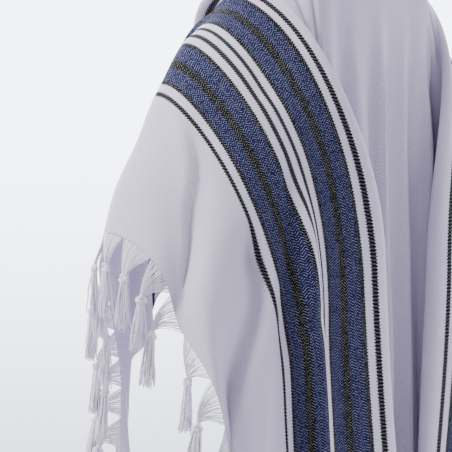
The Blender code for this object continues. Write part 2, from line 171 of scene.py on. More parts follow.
# %% Large folds
# a run from (side_a, down_a) to (side_b, down_b), which has grown to its height by the share `grow`
FOLD_NAMES = "side_a down_a side_b down_b width height grow".split()
LEFT_FOLDS = (
    (150, 380, -10, 510, 34, 24, 900),
    (130, 450, -10, 620, 30, -10, 800),
    (150, 560, 85, 840, 36, -10, 500),
    (85, 840, 80, 1150, 36, -10, 100),
    (178, 560, 160, 780, 22, 10, 500),
    (160, 780, 158, 1150, 22, 10, 100),
    (250, 470, 218, 620, 14, -12, 600),
    (218, 620, 222, 1150, 14, -12, 100),
    (285, 550, 272, 1150, 20, 7, 600),
    (60, 310, 20, 0, 26, 14, 600),
    (130, 270, 100, 0, 28, -12, 600),
    (200, 230, 175, 0, 26, 14, 600),
    (270, 190, 250, 0, 28, -12, 600),
    (335, 150, 330, 0, 24, 10, 600),
    (560, 450, 565, 1150, 24, -6, 400),
    (620, 360, 628, 1150, 26, 9, 500),
    (690, 340, 695, 1150, 26, -9, 400),
    (750, 380, 748, 1150, 24, 9, 400),
)
RIGHT_FOLDS = (
    (160, 390, -10, 540, 36, 20, 900),
    (125, 480, -10, 660, 32, -11, 800),
    (140, 600, 70, 880, 34, -9, 500),
    (70, 880, 66, 1150, 34, -9, 100),
    (185, 530, 150, 800, 24, 11, 500),
    (150, 800, 146, 1150, 24, 11, 100),
    (262, 490, 240, 680, 16, -11, 600),
    (240, 680, 236, 1150, 16, -11, 100),
    (300, 580, 290, 1150, 20, 7, 600),
    (50, 300, 30, 0, 28, 12, 600),
    (115, 260, 105, 0, 26, -13, 600),
    (190, 220, 185, 0, 28, 13, 600),
    (280, 180, 265, 0, 26, -11, 600),
    (345, 140, 340, 0, 24, 9, 600),
    (550, 440, 560, 1150, 24, -6, 400),
    (630, 330, 640, 1150, 24, 8, 500),
    (705, 300, 702, 1150, 26, -10, 400),
)
MIDDLE_FADE = 0.06  # each half's folds fade out over this much before the middle of the cloth


def large_folds(across, down):
    """Sum of exp(-(distance from the run / width)^2), each growing along its run."""
    total = np.zeros((len(across), len(down)))
    for side, folds in ((across, LEFT_FOLDS), (CLOTH_LENGTH - across, RIGHT_FOLDS)):
        near = 1 - ease((side - HALF + MIDDLE_FADE) / MIDDLE_FADE)
        for row in folds:
            fold = dict(zip(FOLD_NAMES, np.array(row) / 1000))
            start = np.array([fold["side_a"], fold["down_a"]])
            way = np.array([fold["side_b"], fold["down_b"]]) - start
            offset = np.stack(np.meshgrid(side, down, indexing="ij"), -1) - start
            along = offset @ way / (way @ way)
            beside = offset - np.clip(along, 0, 1)[..., None] * way
            bell = np.exp(-(beside**2).sum(-1) / fold["width"] ** 2)
            total += fold["height"] * bell * ease(np.clip(along, 0, 1) / fold["grow"]) * near[:, None]
    return total


# %% [markdown]
# Smaller creases curve and have one steep flank, where the cloth turns under itself. Each is a path
# on the cloth with a height, a width on its fringe side and a width on its far side.

# %% Smaller creases
HOLLOW = (
    (158, 490), (160, 520), (160, 547), (156, 566), (148, 584), (136, 598),
    (122, 609), (106, 619), (84, 635), (55, 654), (36, 674),
)
# path of (side, down) points, height, width on the fringe side, width on the far side
LEFT_CREASES = (
    # the near lobe's edge: it stands out a little, then steps in to the cloth behind it
    (((160, 342), (157, 360), (151, 374), (135, 400), (118, 416), (87, 432),
      (69, 444), (53, 460), (36, 474), (19, 492), (1, 506)), -2.8, 22, 5),
    (((163, 350), (160, 364), (155, 379), (139, 405), (122, 421), (91, 437),
      (73, 449), (57, 465), (40, 479), (23, 497), (4, 511)), 7, 4.5, 30),
    # the hollow below the shoulder blade: a long slope in, and a steep one out again by the stripes
    (HOLLOW, 11, 46, 10),
    (HOLLOW, 12, 21, 10),
    # a pleat whose fringe side lies on top
    (((245, 452), (231, 479), (221, 510), (211, 538), (198, 566), (181, 596),
      (174, 625), (169, 667)), 7, 7, 30),
    # a low ridge along the tuck between the two thin lines
    (((256, 453), (251, 474), (235, 520), (225, 562), (217, 615), (216, 657),
      (219, 725), (221, 780)), -3, 12, 10),
    (((290, 300), (262, 360), (240, 400)), 3, 12, 20),
    (((330, 260), (318, 330), (322, 420), (328, 600)), 3, 14, 12),
    (((60, 120), (45, 220), (50, 290)), -5, 16, 14),
    (((150, 60), (160, 160), (180, 230)), -5, 14, 18),
    (((640, 300), (652, 420), (655, 600), (650, 900)), -4, 14, 18),
    (((725, 330), (722, 480), (728, 760)), 4, 14, 18),
)
RIGHT_CREASES = (
    (((165, 385), (138, 430), (100, 470), (50, 505), (-10, 550)), -8, 16, 13),
    (((250, 470), (234, 505), (214, 550), (190, 610), (176, 690)), 6, 8, 28),
    (((262, 480), (248, 540), (238, 620), (240, 740)), -6, 12, 9),
    (((120, 620), (104, 680), (98, 760)), -5, 18, 18),
    (((285, 310), (258, 370), (238, 420)), 3, 13, 20),
    (((326, 270), (316, 350), (322, 500)), 3, 14, 12),
    (((70, 110), (52, 200), (55, 280)), -5, 16, 14),
    (((160, 50), (170, 150), (190, 220)), 4, 14, 18),
    (((655, 320), (660, 480), (655, 760)), -4, 15, 18),
)
CREASE_FADE = 0.22  # the share of a path over which its crease starts, and ends


def crease(side, down, path, height, near_width, far_width):
    """exp(-(distance from the path / width)^2), narrower on one flank, fading at the path's ends."""
    spot = np.stack(np.meshgrid(side, down, indexing="ij"), -1)
    best = np.full(spot.shape[:2], np.inf)
    signed, share = np.zeros(spot.shape[:2]), np.zeros(spot.shape[:2])
    steps = np.diff(path, axis=0)
    lengths = np.linalg.norm(steps, axis=1)
    before = np.concatenate([[0], np.cumsum(lengths)])
    for k, (start, way) in enumerate(zip(path[:-1], steps)):
        offset = spot - start
        along = np.clip(offset @ way / (way @ way), 0, 1)
        beside = offset - along[..., None] * way
        distance = np.linalg.norm(beside, axis=-1)
        turn = np.sign(offset[..., 0] * way[1] - offset[..., 1] * way[0])
        closer = distance < best
        best = np.where(closer, distance, best)
        signed = np.where(closer, distance * turn, signed)
        share = np.where(closer, (before[k] + along * lengths[k]) / before[-1], share)
    width = np.where(signed < 0, near_width, far_width)
    fade = ease(share / CREASE_FADE) * ease((1 - share) / CREASE_FADE)
    return height * np.exp(-((signed / width) ** 2)) * fade


def small_creases(across, down):
    """Sum of the creases of both halves."""
    total = np.zeros((len(across), len(down)))
    for side, creases in ((across, LEFT_CREASES), (CLOTH_LENGTH - across, RIGHT_CREASES)):
        here = np.where(side <= HALF)[0]
        for path, *sizes in creases:
            total[here] += crease(side[here], down, np.array(path) / 1000, *np.array(sizes) / 1000)
    return total


# the layers beside the neck lie pressed together, so the cloth is nearly even there
PRESSED_SIDE, PRESSED_DOWN, PRESSED_WIDTH, PRESSED_SHARE = 0.44, 0.27, 0.10, 0.85


def slack(across, down):
    """Slow unevenness of soft wool: a few crossing sine waves, together under two millimetres."""
    a, d = across[:, None], down[None, :]
    waves = 0.0009 * np.sin(31 * a + 6 * d + 0.7 * np.sin(9 * d)) * np.sin(7 * d + 2.1 * a + 0.4)
    waves = waves + 0.0006 * np.sin(67 * a - 9 * d + 1.3 * np.sin(5 * d + 1)) * np.sin(11 * d + 1.9)
    waves = waves + 0.0003 * np.sin(23 * d + 17 * a) * np.sin(41 * a - 13 * d)
    side = np.where(a > HALF, CLOTH_LENGTH - a, a)
    pressed = np.exp(-(((side - PRESSED_SIDE) / PRESSED_WIDTH) ** 2) - ((d - PRESSED_DOWN) / PRESSED_WIDTH) ** 2)
    return waves * (1 - PRESSED_SHARE * pressed)


# %% [markdown]
# The lines hang closer together than the cloth between them is wide. What is over stands out in
# folds, and how deep they are follows from how much cloth there is to take up.

# %% Gathers that take up the spare cloth
# the stretch of cloth they are on, the length of cloth in one, how deep, and how far they fade down it
GATHER_NAMES = "side_from side_to down_from down_to length deepest fade".split()
GATHERS = (
    (-0.10, 0.53, -0.20, 0.240, 0.062, 0.0110, 0.10),
    (-0.10, 0.40, -0.20, 0.300, 0.027, 0.0025, 0.12),
    (0.03, 0.22, 0.660, 1.30, 0.055, 0.0055, 0.14),
    (0.505, 0.90, 0.400, 1.30, 0.055, 0.0105, 0.14),
    (0.505, 0.90, 0.400, 1.30, 0.027, 0.0030, 0.14),
)
GATHER_EDGE = 0.05  # how far they fade at the sides of their stretch


def gathers(across, down):
    """Depth * sin(2 pi side / length), where depth grows with the share of cloth left over.

    That share is sqrt(1 - w^2), w being how far apart neighbouring lines hang for each metre of cloth.
    """
    still = hanging_cloth(across, down)
    sideways, along = np.gradient(still, across, axis=0), np.gradient(still, down, axis=1)
    apart = np.linalg.norm(np.cross(sideways, along), axis=-1) / np.linalg.norm(along, axis=-1)
    spare = np.sqrt(np.clip(1 - apart**2, 0, 1))
    right = (across > HALF)[:, None]
    side = np.where(right, CLOTH_LENGTH - across[:, None], across[:, None])
    # the gathers wander a little, and differently on the two halves
    wander = 0.18 * np.sin(6 * down[None, :] + 2 * right) + 0.12 * np.sin(40 * side) + 0.31 * right
    total = np.zeros(spare.shape)
    for row in GATHERS:
        zone = dict(zip(GATHER_NAMES, row))
        held = ease((side - zone["side_from"]) / GATHER_EDGE) * ease((zone["side_to"] - side) / GATHER_EDGE)
        held = held * ease((down[None, :] - zone["down_from"]) / zone["fade"])
        held = held * ease((zone["down_to"] - down[None, :]) / zone["fade"])
        total += zone["deepest"] * held * np.sin(2 * np.pi * (side / zone["length"] + wander))
    return total * spare


# %% [markdown]
# A tuck hides most of what is between the two dark bands. The lobes of the fringed ends stand out
# from the arms, more so at the hem.

# %% The folded cloth
# where it is, from where to where down it deepens, what it takes, and by where the cloth lies as before
TUCK_NAMES = "side from_down full_down takes eased_by".split()
LEFT_TUCK = (0.2470, 0.430, 0.690, 0.0155, 0.352)
RIGHT_TUCK = (0.2460, 0.470, 0.720, 0.0120, 0.350)
TUCK_WIDTH = 0.034
# how far a lobe stands out, how wide that is from the end, where down the cloth, and how wide there
FLARE_NAMES = "height side_width down_middle down_width".split()
LEFT_FLARES = ((0.014, 0.10, 0.335, 0.085), (0.017, 0.055, 0.505, 0.050))
RIGHT_FLARES = ((0.010, 0.10, 0.335, 0.085),)
FLARE_SIDE, FLARE_FRONT = 0.77, -0.64  # the way it stands out: sideways, and forwards
NUDGE = 0.004  # how far to each side a slope of the hanging cloth is taken


def slopes(across, down):
    """The steps across and down the hanging cloth."""
    ends = np.clip(across + NUDGE, 0, CLOTH_LENGTH), np.clip(across - NUDGE, 0, CLOTH_LENGTH)
    sideways = hanging_cloth(ends[0], down) - hanging_cloth(ends[1], down)
    return sideways, hanging_cloth(across, down + NUDGE) - hanging_cloth(across, down - NUDGE)


def tucked(across, down):
    """How far cloth is pulled back over the tuck: takes * a rise at the tuck * an ease back to none."""
    total = np.zeros((len(across), len(down)))
    for side, row, way in ((across, LEFT_TUCK, -1), (CLOTH_LENGTH - across, RIGHT_TUCK, 1)):
        tuck = dict(zip(TUCK_NAMES, row))
        rise = ease((side - tuck["side"] + TUCK_WIDTH / 2) / TUCK_WIDTH)
        rise = rise * ease((tuck["eased_by"] - side) / (tuck["eased_by"] - tuck["side"] - TUCK_WIDTH / 2))
        grown = ease((down - tuck["from_down"]) / (tuck["full_down"] - tuck["from_down"]))
        total += way * tuck["takes"] * rise[:, None] * grown
    return total


def flared(across, down):
    """How far and which way the lobes stand out: height * exp(-(side / width)^2 - (down / width)^2)."""
    total = np.zeros((len(across), len(down), 3))
    for side, rows, way in ((across, LEFT_FLARES, 1), (CLOTH_LENGTH - across, RIGHT_FLARES, -1)):
        for row in rows:
            flare = dict(zip(FLARE_NAMES, row))
            apart = (down - flare["down_middle"]) / flare["down_width"]
            bell = np.exp(-((side[:, None] / flare["side_width"]) ** 2) - apart**2)
            total += flare["height"] * bell[..., None] * np.array([way * FLARE_SIDE, FLARE_FRONT, 0.0])
    return total


def cloth(across, down):
    """The middle of the folded cloth: the hanging cloth, moved across its face and along itself."""
    height = large_folds(across, down) + small_creases(across, down) + slack(across, down) + gathers(across, down)
    sideways, along = slopes(across, down)
    moved = height[..., None] * unit(np.cross(sideways, along)) + tucked(across, down)[..., None] * unit(sideways)
    return hanging_cloth(across, down) + moved + flared(across, down)


def inner_way(points, across, down):
    """The way to the wearer's side of a grid of points: the cross product of its slopes."""
    return unit(np.cross(np.gradient(points, across, axis=0), np.gradient(points, down, axis=1)))


# columns lie closest together on the shoulder with the fine folds
FINE_END, FINE_STEP, OTHER_COLUMNS, DOWN_ROWS = 0.372, 0.0040, 227, 156
ACROSS = np.concatenate([np.arange(0, FINE_END, FINE_STEP), np.linspace(FINE_END, CLOTH_LENGTH, OTHER_COLUMNS)])
DOWN = np.linspace(0, CLOTH_WIDTH, DOWN_ROWS)
MIDDLE = cloth(ACROSS, DOWN)
print("cloth grid", MIDDLE.shape[:2])


# %% [markdown]
# ## Meshes from grids
# Every piece is quads only, so that its corners can go into the mesh as one array.

# %% Mesh helpers
def add_piece(name, points, quads, uv, finish, slot):
    """One mesh of quads with a UV for each corner, smooth, with its finish, riding on the body."""
    mesh = bpy.data.meshes.new(name)
    mesh.vertices.add(len(points))
    mesh.vertices.foreach_set("co", np.asarray(points, np.float32).ravel())
    mesh.loops.add(4 * len(quads))
    mesh.loops.foreach_set("vertex_index", np.asarray(quads, np.int32).ravel())
    mesh.polygons.add(len(quads))
    mesh.polygons.foreach_set("loop_start", np.arange(0, 4 * len(quads), 4, dtype=np.int32))
    mesh.update(calc_edges=True)
    mesh.uv_layers.new(name="weave").data.foreach_set("uv", np.asarray(uv, np.float32).reshape(-1))
    mesh.polygons.foreach_set("use_smooth", np.ones(len(quads), bool))
    mesh.validate()
    mesh.materials.append(finish)
    piece = new_object(name, mesh)
    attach(piece, "root")
    print(name, len(quads) * 2, "triangles")
    return piece


def grid_quads(rows, cols):
    """Corners of each cell of a grid: (i, j), (i+1, j), (i+1, j+1), (i, j+1)."""
    i, j = np.meshgrid(np.arange(rows - 1), np.arange(cols - 1), indexing="ij")
    first = (i * cols + j).ravel()
    return np.stack([first, first + cols, first + cols + 1, first + 1], axis=1)


def shell(points, thick, across, down):
    """A closed shell on a grid: two faces half a thickness to each side, joined by a rim."""
    rows, cols = points.shape[:2]
    off = inner_way(points, across, down) * thick / 2
    both = np.concatenate([(points + off).reshape(-1, 3), (points - off).reshape(-1, 3)])
    one_face = grid_quads(rows, cols)
    other_face = one_face[:, ::-1] + rows * cols
    rim = np.concatenate([
        np.arange(rows) * cols,
        (rows - 1) * cols + np.arange(1, cols),
        np.arange(rows - 2, -1, -1) * cols + cols - 1,
        np.arange(cols - 2, 0, -1),
    ])
    after = np.roll(rim, -1)
    edge = np.stack([after, rim, rim + rows * cols, after + rows * cols], axis=1)
    quads = np.concatenate([one_face, other_face, edge])
    flat = np.stack(np.meshgrid(across, down, indexing="ij"), -1).reshape(-1, 2)
    uv = np.concatenate([flat, flat])[quads.ravel()]
    return both, quads, uv


# %% [markdown]
# ## Finishes
# The cloth is white wool in a diagonal twill. Two dark bands and four thin cord lines are woven in
# near each end. Wool takes light softly: it is rough, with a faint sheen from its loose fibres. The
# colour comes from how far a point is from the nearer end, and the threads from short repeats of
# the same two distances, so the pattern bends with the cloth.

# %% A short way to write shader nodes
def add_node(tree, kind, values=(), **settings):
    """A shader node with its settings, and a value or a link for each socket that is named."""
    node = tree.nodes.new("ShaderNode" + kind)
    for key, value in settings.items():
        setattr(node, key, value)
    for key, value in dict(values).items():
        if isinstance(value, bpy.types.NodeSocket):
            tree.links.new(value, node.inputs[key])
        else:
            node.inputs[key].default_value = value
    return node


class Nodes:
    """Adds nodes to a material and joins them. Most methods return the new node's output."""

    def __init__(self, name, roughness, sheen):
        self.material = bpy.data.materials.new(name)
        self.material.use_nodes = True
        self.tree = self.material.node_tree
        self.shader = self.tree.nodes["Principled BSDF"]
        for socket, value in (("Roughness", roughness), ("Sheen Weight", sheen), ("Sheen Roughness", 0.45),
                              ("Specular IOR Level", 0.08)):
            self.shader.inputs[socket].default_value = value

    def put(self, kind, values=(), **settings):
        return add_node(self.tree, kind, values, **settings)

    def math(self, operation, a, b=0.0, c=0.0):
        return self.put("Math", {0: a, 1: b, 2: c}, operation=operation).outputs[0]

    def times(self, a, b):
        return self.math("MULTIPLY", a, b)

    def scaled(self, a, b, c):
        """a * b + c."""
        return self.math("MULTIPLY_ADD", a, b, c)

    def wave(self, value, length):
        """sin(2 pi value / length)."""
        return self.math("SINE", self.times(value, 2 * np.pi / length))

    def flat(self):
        """The two distances on the cloth, or turns round a thread and metres along it, and both as one."""
        place = self.put("UVMap", uv_map="weave").outputs[0]
        apart = self.put("SeparateXYZ", {0: place})
        return apart.outputs[0], apart.outputs[1], place

    def noise(self, place, scale, detail):
        return self.put("TexNoise", {"Vector": place, "Scale": scale, "Detail": detail}).outputs["Fac"]

    def mix(self, share, a, b):
        """a and b mixed, with this share of b."""
        a, b = (v if isinstance(v, bpy.types.NodeSocket) else (*v, 1) for v in (a, b))
        return self.put("Mix", {0: share, 6: a, 7: b}, data_type="RGBA").outputs[2]

    def bump(self, height, distance, strength):
        made = self.put("Bump", {"Height": height, "Distance": distance, "Strength": strength})
        self.tree.links.new(made.outputs[0], self.shader.inputs["Normal"])

    def colour(self, socket):
        self.tree.links.new(socket, self.shader.inputs["Base Color"])


# %% [markdown]
# The stripes are one ramp of flat steps. A second ramp with the same steps says which weave each
# stripe has: red for blue wool, green for black wool, blue for a thin cord line.

# %% The stripes, from the fringe inwards
WHITE, NAVY, BLACK = (0.73, 0.655, 0.780), (0.0095, 0.0098, 0.046), (0.003, 0.0033, 0.004)
# where each starts, its colour, its weave
STRIPES = (
    (0.1647, BLACK, "line"), (0.1703, WHITE, ""),
    (0.1790, BLACK, "black"), (0.1840, NAVY, "blue"), (0.2000, BLACK, "black"), (0.2085, NAVY, "blue"),
    (0.2245, BLACK, "black"), (0.2285, WHITE, ""),
    (0.2375, BLACK, "line"), (0.2430, WHITE, ""), (0.2520, BLACK, "line"), (0.2575, WHITE, ""),
    (0.2660, BLACK, "black"), (0.2710, NAVY, "blue"), (0.2870, BLACK, "black"), (0.2955, NAVY, "blue"),
    (0.3115, BLACK, "black"), (0.3160, WHITE, ""),
    (0.3242, BLACK, "line"), (0.3298, WHITE, ""),
)
RAMP_START, RAMP_LENGTH = 0.15, 0.20
WEAVE_MARK = {"": (0, 0, 0), "blue": (1, 0, 0), "black": (0, 1, 0), "line": (0, 0, 1)}
# herringbone: how wide each slant is, how far apart its rows are, and the share of a row with flecks
ARM, ROW, FLECK = 0.0042, 0.0032, 0.22
# stripe edges: the length of one bulge, its height and where it sits, and how far noise moves it
BULGE, BULGE_HIGH, BULGE_AT, WANDER = 0.0036, 0.00075, -0.00035, 0.0007
# cord lines: their slant, the length of two plies and the paler one's share
CORD_SLANT, PLIES, PALE_PLY = -0.9, 0.0042, 0.42
TWILL_SLANT, TWILL_APART = 1.1, 0.0043
# the white's darkening is painted shade between the twill's ridges, the wool's grain and a slow change of tone, in
# these shares
TWILL_PAINTED_SHADE, GRAIN_SHARE, CLOUD_SHARE = 0.09, 0.34, 0.04  # how much of the shade is each
# the colour the white is darkened towards, for its grain and tone and for the painted shade between the twill's
# ridges, the flecks on blue and on black, and a cord's paler ply
GRAIN_AND_PAINTED_SHADE, BLUE_FLECK, BLACK_FLECK, PALE_CORD = (0.31, 0.28, 0.36), (0.36, 0.38, 0.50), (0.33, 0.33, 0.28), (0.2, 0.2, 0.2)


def step_ramp(nodes, share, first, steps):
    """A ramp of flat steps: the first colour, then each (place, colour)."""
    node = nodes.put("ValToRGB", {0: share})
    ramp = node.color_ramp
    ramp.interpolation = "CONSTANT"
    ramp.elements[0].position, ramp.elements[0].color = 0, (*first, 1)
    ramp.elements.remove(ramp.elements[1])
    for place, colour in steps:
        ramp.elements.new((place - RAMP_START) / RAMP_LENGTH).color = (*colour, 1)
    return node.outputs[0]


def striped_twill():
    """White twill with herringbone bands and twisted lines, and a bump for each weave."""
    n = Nodes("striped wool twill", 0.90, 0.05)
    side, down, place = n.flat()
    near = n.math("MINIMUM", side, n.math("SUBTRACT", CLOTH_LENGTH, side))
    # the edge of each stripe bulges with its threads and wanders a little
    slanted = n.scaled(near, CORD_SLANT, down)
    bulge = n.scaled(n.wave(slanted, BULGE), BULGE_HIGH, BULGE_AT)
    wobble = n.scaled(n.noise(place, 900.0, 0.0), WANDER, bulge)
    share = n.math("DIVIDE", n.math("SUBTRACT", n.math("ADD", near, wobble), RAMP_START), RAMP_LENGTH)
    base = step_ramp(n, share, WHITE, [(at, colour) for at, colour, _ in STRIPES])
    marks = step_ramp(n, share, WEAVE_MARK[""], [(at, WEAVE_MARK[weave]) for at, _, weave in STRIPES])
    blue, black, line = n.put("SeparateColor", {0: marks}).outputs
    # herringbone: rows slant one way, then the other, and noise leaves out some of their flecks
    rows = n.math("FRACT", n.math("DIVIDE", n.math("ADD", down, n.math("PINGPONG", near, ARM)), ROW))
    kept = n.math("GREATER_THAN", n.noise(place, 800.0, 1.0), 0.47)
    fleck = n.times(n.math("LESS_THAN", rows, FLECK), kept)
    # cord lines: a dark ply and a grey one, slanted
    ply = n.math("LESS_THAN", n.math("FRACT", n.math("DIVIDE", slanted, PLIES)), PALE_PLY)
    # twill: fine slanted ridges over the white, with painted shade between them, the grain of loose wool and a slow
    # change of tone
    twill = n.wave(n.scaled(near, TWILL_SLANT, down), TWILL_APART)
    grain = n.scaled(n.noise(place, 480.0, 2.0), 2.2, -0.6)
    shade = n.scaled(grain, GRAIN_SHARE, n.times(twill, TWILL_PAINTED_SHADE))
    shade = n.scaled(n.noise(place, 9.0, 3.0), CLOUD_SHARE, shade)
    plain = n.math("SUBTRACT", 1.0, n.math("ADD", n.math("ADD", blue, black), line))
    # only the white is darkened, by its grain, its tone and the painted shade between the twill's ridges
    colour = n.mix(n.times(shade, plain), base, GRAIN_AND_PAINTED_SHADE)
    for weave, shows, most, paler in (
        (blue, fleck, 0.80, BLUE_FLECK), (black, fleck, 0.75, BLACK_FLECK), (line, ply, 0.34, PALE_CORD),
    ):
        colour = n.mix(n.times(n.times(weave, shows), most), colour, paler)
    n.colour(colour)
    raised = n.times(fleck, n.math("ADD", blue, black))
    raised = n.math("ADD", raised, n.times(line, 1.6))
    raised = n.scaled(raised, 0.9, n.times(twill, 0.30))
    n.bump(n.scaled(grain, 0.7, raised), 0.00025, 0.75)
    return n.material


def twisted_thread(name, colour, pitch):
    """Plied thread: a slanted line of ply round it, bumped and painted as shade in the groove between plies, a little
    fuzz, and a slow change of tone.
    """
    n = Nodes(name, 0.82, 0.35)
    round_it, along, _ = n.flat()
    ply = n.wave(n.math("ADD", n.math("DIVIDE", along, pitch), round_it), 1.0)
    place = n.put("TexCoord").outputs["Object"]
    fuzz, slow = n.noise(place, 900.0, 2.0), n.noise(place, 60.0, 1.0)
    # the line of ply darkens the thread a little as painted shade in its groove; fuzz and a slow change of tone darken
    # it at random
    dark = n.scaled(ply, 0.05, n.scaled(fuzz, 0.16, n.times(slow, 0.12)))
    n.colour(n.mix(dark, colour, tuple(0.55 * c for c in colour)))
    n.bump(n.scaled(fuzz, 0.7, n.times(ply, 0.5)), 0.0003, 0.6)
    return n.material


WOOL = striped_twill()
FRINGE_WOOL = twisted_thread("loose fringe wool", (0.93, 0.88, 0.95), 0.004)
STRING_WOOL = twisted_thread("tzitzit string wool", (0.87, 0.86, 0.84), 0.005)
print("finishes:", WOOL.name, FRINGE_WOOL.name, STRING_WOOL.name)

# %% [markdown]
# ## The cloth
# One closed shell, a millimetre thick with its nap. It takes the place of the cloth's three solids.

# %% The woven cloth
points, quads, uv = shell(MIDDLE, THICK, ACROSS, DOWN)
woven_cloth = add_piece("woven_cloth", points, quads, uv, WOOL, "white_cloth")
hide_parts("shawl_left", "shawl_middle", "shawl_right")

# %% [markdown]
# ## Threads
# The fringe and the corner strings are bundles of threads. Each is a four-sided tube along a path,
# and all the tubes of a bundle are worked out at once, as one array of paths.

# %% Tubes along many paths
def tubes(paths, radii, side_hint, sides=4):
    """Closed tubes: at each ring, corners at radius * (cos, sin) of equal turns round the path.

    paths is (tubes, rings, 3), radii (tubes, rings), side_hint (tubes, 3) a way that is never along
    the path. Returns points, quads and a UV of turns round the tube and metres along it.
    """
    count, rings = paths.shape[:2]
    ways = unit(np.gradient(paths, axis=1))
    hint = np.broadcast_to(side_hint[:, None, :], paths.shape)
    across = unit(np.cross(ways, hint))
    over = np.cross(across, ways)
    turn = 2 * np.pi * (np.arange(sides) + 0.5) / sides
    ring = across[:, :, None] * np.cos(turn)[:, None] + over[:, :, None] * np.sin(turn)[:, None]
    points = (paths[:, :, None] + radii[:, :, None, None] * ring).reshape(-1, 3)
    k, r = np.meshgrid(np.arange(sides), np.arange(rings - 1))
    here, following, beside = r * sides, (r + 1) * sides, (k + 1) % sides
    one = np.stack([here + k, following + k, following + beside, here + beside], -1).reshape(-1, 4)
    fan = np.array([[0, j, j + 1, j + 2] for j in range(1, sides - 1, 2)])
    last = (rings - 1) * sides
    one = np.concatenate([one, fan, last + fan[:, ::-1]])
    quads = (np.arange(count)[:, None, None] * rings * sides + one).reshape(-1, 4)
    length = np.concatenate([np.zeros((count, 1)), np.cumsum(np.linalg.norm(np.diff(paths, axis=1), axis=2), 1)], 1)
    along = np.repeat(length[:, :, None], sides, 2)
    around = np.broadcast_to(np.arange(sides) / sides, along.shape)
    uv = np.stack([around, along], -1).reshape(-1, 2)[quads.ravel()]
    return points, quads, uv


def one_tube(path, radius, side_hint, sides=4):
    """A single tube of one radius along a path."""
    return tubes(path[None], np.full((1, len(path)), radius), side_hint[None], sides)


KNOT_TALL, KNOT_DEEP = 0.8, 1.2  # a knot's shape beside its width of 1
HINT_WAY = 0.37  # with `hint`, keeps a knot's side hint off every way that its thread takes


def knot(centre, way, flat, size, radius, hint, steps=31, sides=6):
    """A thread tied round itself: the closed curve (sin t + 2 sin 2t, cos t - 2 cos 2t, -sin 3t)."""
    t = np.linspace(0, 2 * np.pi, steps)
    wide = np.cross(way, flat)
    path = centre + size * (
        (np.sin(t) + 2 * np.sin(2 * t))[:, None] * wide
        + KNOT_TALL * (np.cos(t) - 2 * np.cos(2 * t))[:, None] * way
        - KNOT_DEEP * np.sin(3 * t)[:, None] * flat
    )
    return one_tube(path, radius, flat + HINT_WAY * way + hint * wide, sides)


def joined(parts):
    """Several (points, quads, uv) as one."""
    base = np.cumsum([0] + [len(points) for points, _, _ in parts])
    quads = [quads + first for (_, quads, _), first in zip(parts, base)]
    points, _, uv = zip(*parts)
    return np.concatenate(points), np.concatenate(quads), np.concatenate(uv)


# %% [markdown]
# ## The fringe
# At each end the weaving stops and the warp threads go on. They are gathered in thirty groups,
# each knotted about 27 mm past its strip, and the tails are left loose. The edge is a curve
# in space, so each group leaves the cloth along the cloth's own surface and then turns down.

# %% Places along a fringed end
TASSELS = 30
CLOSER = 0.05  # how much closer together the groups are over the shoulder and head
EDGE_PLACES, EDGE_IN = 461, 0.006  # where the edge is worked out, and how far in its slope is taken
LEAN = 0.12  # how much of the cloth's own direction is left in a hanging group
FAN, FAN_RUN = 0.0072, 0.03  # every other group swings out this far, over this length, the rest in
# distance from the strip, and the share of the turn from the cloth's own direction to straight down
TURN_AT = np.array([-0.02, 0.0, 0.010, 0.020, 0.024, 0.031, 0.2])
TURNED = np.array([0.0, 0.0, 0.40, 0.80, 0.92, 1.0, 1.0])
KNOT_AT, KNOT_UNEVEN, TAIL_END = 0.0275, 0.0008, 0.084  # past the strip
PATH_STEPS = 40


def fringed_end(right):
    """Edge points, the way on past the edge and the way out of the face, at many places down it."""
    at = np.linspace(0, CLOTH_WIDTH, EDGE_PLACES)
    end, inside = (CLOTH_LENGTH, CLOTH_LENGTH - EDGE_IN) if right else (0.0, EDGE_IN)
    pair = cloth(np.array([end, inside]), at)
    along = unit(np.gradient(pair[0], at, axis=0))
    on = pair[0] - pair[1]
    on = unit(on - (on * along).sum(-1, keepdims=True) * along)
    out = unit(np.cross(along, on)) * (1 if right else -1)
    return at, pair[0], on, out


def sample(at, values, where):
    """Values of a table of vectors between its rows."""
    return np.stack([np.interp(where, at, values[:, k]) for k in range(3)], -1)


def cells():
    """The middle and width of each group's stretch of the edge, from the front corner to the hem."""
    even = np.linspace(0, 1, TASSELS + 1)
    marks = CLOTH_WIDTH * (even - CLOSER * np.sin(2 * np.pi * even) * np.sin(np.pi * even) ** 2)
    return (marks[1:] + marks[:-1]) / 2, np.diff(marks)


def tassel_path(place, on, out, fan):
    """From the edge on along the cloth, then turning down: steps of unit(on * (1 - t) + drop * t)."""
    distance = np.linspace(0, STRIP + EDGE_GAP + TAIL_END, PATH_STEPS)
    turned = np.interp(distance - STRIP - EDGE_GAP, TURN_AT, TURNED)[:, None]
    drop = unit(np.array([LEAN * on[0], LEAN * on[1], -1.0]))
    way = unit(on * (1 - turned) + drop * turned)
    line = place + np.concatenate([[np.zeros(3)], np.cumsum((way[1:] + way[:-1]) / 2 * distance[1], axis=0)])
    flat = unit(out - (out * way).sum(-1, keepdims=True) * way)
    return distance, line + flat * (fan * ease((distance - STRIP) / FAN_RUN))[:, None], way, flat


# %% [markdown]
# Each group is a web of threads that gather, a knot, and a tail of loose ones that open out and curl.

# %% The fringes
WEB_THREADS, WEB_RINGS, WEB_RADIUS = 36, 8, 0.00052
